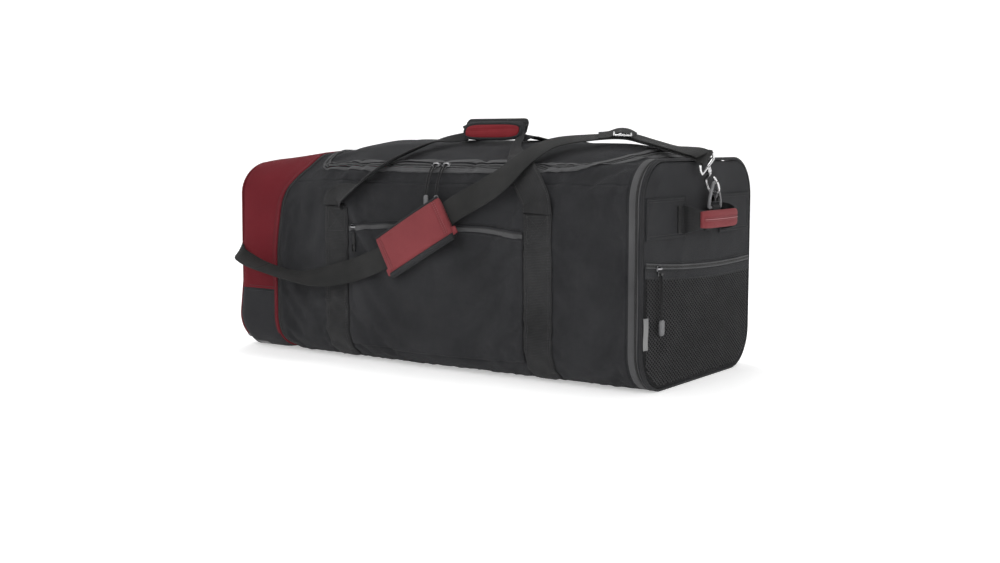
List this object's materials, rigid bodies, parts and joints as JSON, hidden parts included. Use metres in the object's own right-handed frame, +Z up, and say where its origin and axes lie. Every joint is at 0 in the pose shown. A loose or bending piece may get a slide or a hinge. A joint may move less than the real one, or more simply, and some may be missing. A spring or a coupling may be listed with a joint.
{
  "type": "rolling duffel bag",
  "caption": "Long soft duffel bag with a wheeled end box it folds into, zip lid, end pan, carry handles and padded shoulder strap.",
  "frame": {"origin": "middle of the flat base, on the floor", "axes": "+X along the bag from the wheel end to the pocket end, +Y to the back, +Z up"},
  "size_m": [0.8759, 0.3932, 0.4034],
  "materials": {
    "black_fabric": "600 denier polyester, plain weave, faint blue cast",
    "red_fabric": "dark red polyester, plain weave",
    "box_lower_fabric": "black coated fabric",
    "webbing": "ribbed black polypropylene webbing",
    "strap_webbing": "black webbing, fine rib",
    "red_piping": "red covered piping cord",
    "black_piping": "black covered piping cord",
    "zip_tape": "grey zip tape with moulded coil",
    "zip_slider": "dark painted zinc",
    "pull_cord": "braided cord",
    "pull_tip": "grey moulded rubber",
    "mesh": "black diamond mesh over black fabric",
    "grip_red": "padded red fabric, stitched",
    "pad_red": "padded red fabric bound in black",
    "housing": "moulded dark grey plastic",
    "hub": "moulded plastic",
    "tyre": "matt rubber",
    "steel": "satin nickel plated",
    "ring_plastic": "grey moulded plastic",
    "tag": "plain woven tab"
  },
  "bodies": {
    "bag": {"wheel_box_upper": "red_fabric", "wheel_box_lower": "box_lower_fabric", "rim_piping": "red_piping", "wheel_end_piping": "red_piping", "rim_zip_track": "zip_tape", "front_panel": "black_fabric", "back_panel": "black_fabric", "base_panel": "black_fabric", "top_border": "black_fabric", "wheel_housing_left": "housing", "wheel_housing_right": "housing", "housing_rivets": "steel", "wheel_axles": "steel", "front_webbing": "webbing", "back_webbing": "webbing", "wheel_end_ring_tab": "webbing", "front_pocket_panel": "black_fabric"},
    "wheel_left": {"tyre_left": "tyre", "hub_left": "hub"},
    "wheel_right": {"tyre_right": "tyre", "hub_right": "hub"},
    "lid": {"lid_panel": "black_fabric"},
    "handle_front": {"handle_front_webbing": "webbing", "handle_grip_wrap": "grip_red"},
    "handle_back": {"handle_back_webbing": "webbing"},
    "main_zip": {"main_zip_track": "zip_tape"},
    "main_slider_a": {"main_slider_a": "zip_slider"},
    "main_pull_a": {"main_pull_cord_a": "pull_cord", "main_pull_tip_a": "pull_tip"},
    "main_slider_b": {"main_slider_b": "zip_slider"},
    "main_pull_b": {"main_pull_cord_b": "pull_cord", "main_pull_tip_b": "pull_tip"},
    "pocket_zip": {"front_pocket_zip": "zip_tape"},
    "pocket_slider": {"front_pocket_slider": "zip_slider"},
    "pocket_pull": {"front_pocket_pull": "pull_tip"},
    "strap": {"shoulder_strap": "strap_webbing"},
    "adjuster": {"strap_adjuster": "steel"},
    "pad": {"strap_pad": "pad_red"},
    "end_pan": {"end_panel": "black_fabric", "end_piping": "black_piping", "end_zip_track": "zip_tape", "end_pocket_mesh": "mesh", "end_pocket_band": "black_fabric", "end_pocket_zip": "zip_tape", "end_handle_patches": "webbing", "side_tag": "tag", "pocket_end_ring_tab": "webbing"},
    "end_slider": {"end_pocket_slider": "zip_slider"},
    "end_pull": {"end_pull_cord": "pull_cord", "end_pull_tip": "pull_tip"},
    "end_handle": {"end_handle_webbing": "webbing", "end_handle_grip": "grip_red"},
    "pocket_end_ring": {"pocket_end_ring": "ring_plastic"},
    "pocket_end_hook": {"pocket_end_hook": "steel"},
    "pocket_end_gate": {"pocket_end_hook_gate": "steel"},
    "pocket_end_eye": {"pocket_end_hook_eye": "steel"},
    "wheel_end_ring": {"wheel_end_ring": "ring_plastic"},
    "wheel_end_hook": {"wheel_end_hook": "steel"},
    "wheel_end_gate": {"wheel_end_hook_gate": "steel"},
    "wheel_end_eye": {"wheel_end_hook_eye": "steel"}
  },
  "joints": [
    {"name": "collapse", "type": "slide", "parent": "bag", "child": "end_pan", "axis": [1, 0, 0], "range_m": [-0.651, 0], "deforming": ["front_panel", "back_panel", "base_panel", "top_border", "lid_panel", "main_zip_track", "front_webbing", "back_webbing", "front_pocket_panel", "front_pocket_zip", "handle_front_webbing", "handle_grip_wrap", "handle_back_webbing", "shoulder_strap", "strap_pad"]},
    {"name": "wheel_left_spin", "type": "hinge", "parent": "bag", "child": "wheel_left", "pos_m": [-0.401, -0.12, 0.025], "axis": [0, 1, 0], "continuous": true},
    {"name": "wheel_right_spin", "type": "hinge", "parent": "bag", "child": "wheel_right", "pos_m": [-0.401, 0.12, 0.025], "axis": [0, 1, 0], "continuous": true},
    {"name": "lid_hinge", "type": "hinge", "parent": "bag", "child": "lid", "pos_m": [0, 0.15, 0.3273], "axis": [-1, 0, 0], "range_deg": [0, 105]},
    {"name": "handle_front_hinge", "type": "hinge", "parent": "bag", "child": "handle_front", "pos_m": [0, -0.183, 0.257], "axis": [1, 0, 0], "range_deg": [0, 152.25]},
    {"name": "handle_back_hinge", "type": "hinge", "parent": "bag", "child": "handle_back", "pos_m": [0, 0.183, 0.257], "axis": [-1, 0, 0], "range_deg": [0, 152.25]},
    {"name": "main_zip_gather", "type": "slide", "parent": "bag", "child": "main_zip", "axis": [1, 0, 0], "range_m": [-0.32737, 0]},
    {"name": "pocket_zip_gather", "type": "slide", "parent": "bag", "child": "pocket_zip", "axis": [1, 0, 0], "range_m": [-0.17491, 0]},
    {"name": "strap_gather", "type": "slide", "parent": "bag", "child": "strap", "axis": [1, 0, 0], "range_m": [-0.57617, 0]},
    {"name": "main_slider_a_slide", "type": "slide", "parent": "main_zip", "child": "main_slider_a", "axis": [-1, 0, 0], "range_m": [0, 0.2]},
    {"name": "main_pull_a_swing", "type": "hinge", "parent": "main_slider_a", "child": "main_pull_a", "pos_m": [0.024, -0.1634, 0.3236], "axis": [-1, 0, 0], "range_deg": [0, 60], "deforming": ["main_pull_cord_a"]},
    {"name": "main_slider_b_slide", "type": "slide", "parent": "main_zip", "child": "main_slider_b", "axis": [1, 0, 0], "range_m": [0, 0.2]},
    {"name": "main_pull_b_swing", "type": "hinge", "parent": "main_slider_b", "child": "main_pull_b", "pos_m": [0.044, -0.1634, 0.3236], "axis": [-1, 0, 0], "range_deg": [0, 60], "deforming": ["main_pull_cord_b"]},
    {"name": "pocket_slider_slide", "type": "slide", "parent": "pocket_zip", "child": "pocket_slider", "axis": [1, 0, 0], "range_m": [0, 0.3]},
    {"name": "pocket_pull_swing", "type": "hinge", "parent": "pocket_slider", "child": "pocket_pull", "pos_m": [-0.129, -0.1842, 0.222], "axis": [-1, 0, 0], "range_deg": [0, 80]},
    {"name": "adjuster_slide", "type": "slide", "parent": "strap", "child": "adjuster", "axis": [-0.8672, -0.4955, 0.0496], "range_m": [0, 0.03]},
    {"name": "pad_slide", "type": "slide", "parent": "strap", "child": "pad", "axis": [-0.873, 0, -0.4876], "range_m": [0, 0.04]},
    {"name": "end_slider_slide", "type": "slide", "parent": "end_pan", "child": "end_slider", "axis": [0, 1, 0], "range_m": [0, 0.27]},
    {"name": "end_pull_swing", "type": "hinge", "parent": "end_slider", "child": "end_pull", "pos_m": [0.4126, -0.137, 0.1726], "axis": [1, 0, 0], "range_deg": [-25, 25]},
    {"name": "end_handle_hinge", "type": "hinge", "parent": "end_pan", "child": "end_handle", "pos_m": [0.4085, 0, 0.247], "axis": [0, 1, 0], "range_deg": [0, 60], "stiffness_Nm_per_rad": 0.12, "springref_deg": -17.19, "deforming": ["end_handle_webbing"]},
    {"name": "pocket_end_ring_tilt", "type": "hinge", "parent": "end_pan", "child": "pocket_end_ring", "pos_m": [0.419, 0.02, 0.262], "axis": [0, 1, 0], "range_deg": [0, 20], "stiffness_Nm_per_rad": 0.06, "springref_deg": -22.92},
    {"name": "pocket_end_hook_tilt", "type": "hinge", "parent": "pocket_end_ring", "child": "pocket_end_hook", "pos_m": [0.419, 0.01538, 0.2884], "axis": [0, 0.8571, 0.5151], "range_deg": [0, 25], "stiffness_Nm_per_rad": 0.05, "springref_deg": -22.92},
    {"name": "pocket_end_gate_open", "type": "hinge", "parent": "pocket_end_hook", "child": "pocket_end_gate", "pos_m": [0.424, 0.00322, 0.30863], "axis": [0, 0.8571, 0.5151], "range_deg": [0, 20], "stiffness_Nm_per_rad": 0.02, "springref_deg": -11.46},
    {"name": "pocket_end_swivel", "type": "hinge", "parent": "pocket_end_hook", "child": "pocket_end_eye", "pos_m": [0.419, -0.0094, 0.32963], "axis": [0, 0.5151, -0.8571], "range_deg": [0, 20], "stiffness_Nm_per_rad": 0.02, "springref_deg": -11.46},
    {"name": "wheel_end_ring_tilt", "type": "hinge", "parent": "bag", "child": "wheel_end_ring", "pos_m": [-0.419, 0.02, 0.262], "axis": [0, -1, 0], "range_deg": [0, 20], "stiffness_Nm_per_rad": 0.06, "springref_deg": -22.92},
    {"name": "wheel_end_hook_tilt", "type": "hinge", "parent": "wheel_end_ring", "child": "wheel_end_hook", "pos_m": [-0.419, 0.00479, 0.26729], "axis": [0, 0.3899, -0.9208], "range_deg": [0, 25], "stiffness_Nm_per_rad": 0.05, "springref_deg": -22.92},
    {"name": "wheel_end_gate_open", "type": "hinge", "parent": "wheel_end_hook", "child": "wheel_end_gate", "pos_m": [-0.424, -0.01694, 0.25809], "axis": [0, 0.3899, -0.9208], "range_deg": [0, 20], "stiffness_Nm_per_rad": 0.02, "springref_deg": -11.46},
    {"name": "wheel_end_swivel", "type": "hinge", "parent": "wheel_end_hook", "child": "wheel_end_eye", "pos_m": [-0.419, -0.0395, 0.24853], "axis": [0, 0.9208, 0.3899], "range_deg": [0, 20], "stiffness_Nm_per_rad": 0.02, "springref_deg": -11.46}
  ],
  "couplings": [
    {"joint": "handle_front_hinge", "follows": "lid_hinge", "ratio": 1.45},
    {"joint": "handle_back_hinge", "follows": "lid_hinge", "ratio": 1.45},
    {"joint": "main_zip_gather", "follows": "collapse", "ratio": 0.50287},
    {"joint": "pocket_zip_gather", "follows": "collapse", "ratio": 0.26868},
    {"joint": "strap_gather", "follows": "collapse", "ratio": 0.88506}
  ]
}
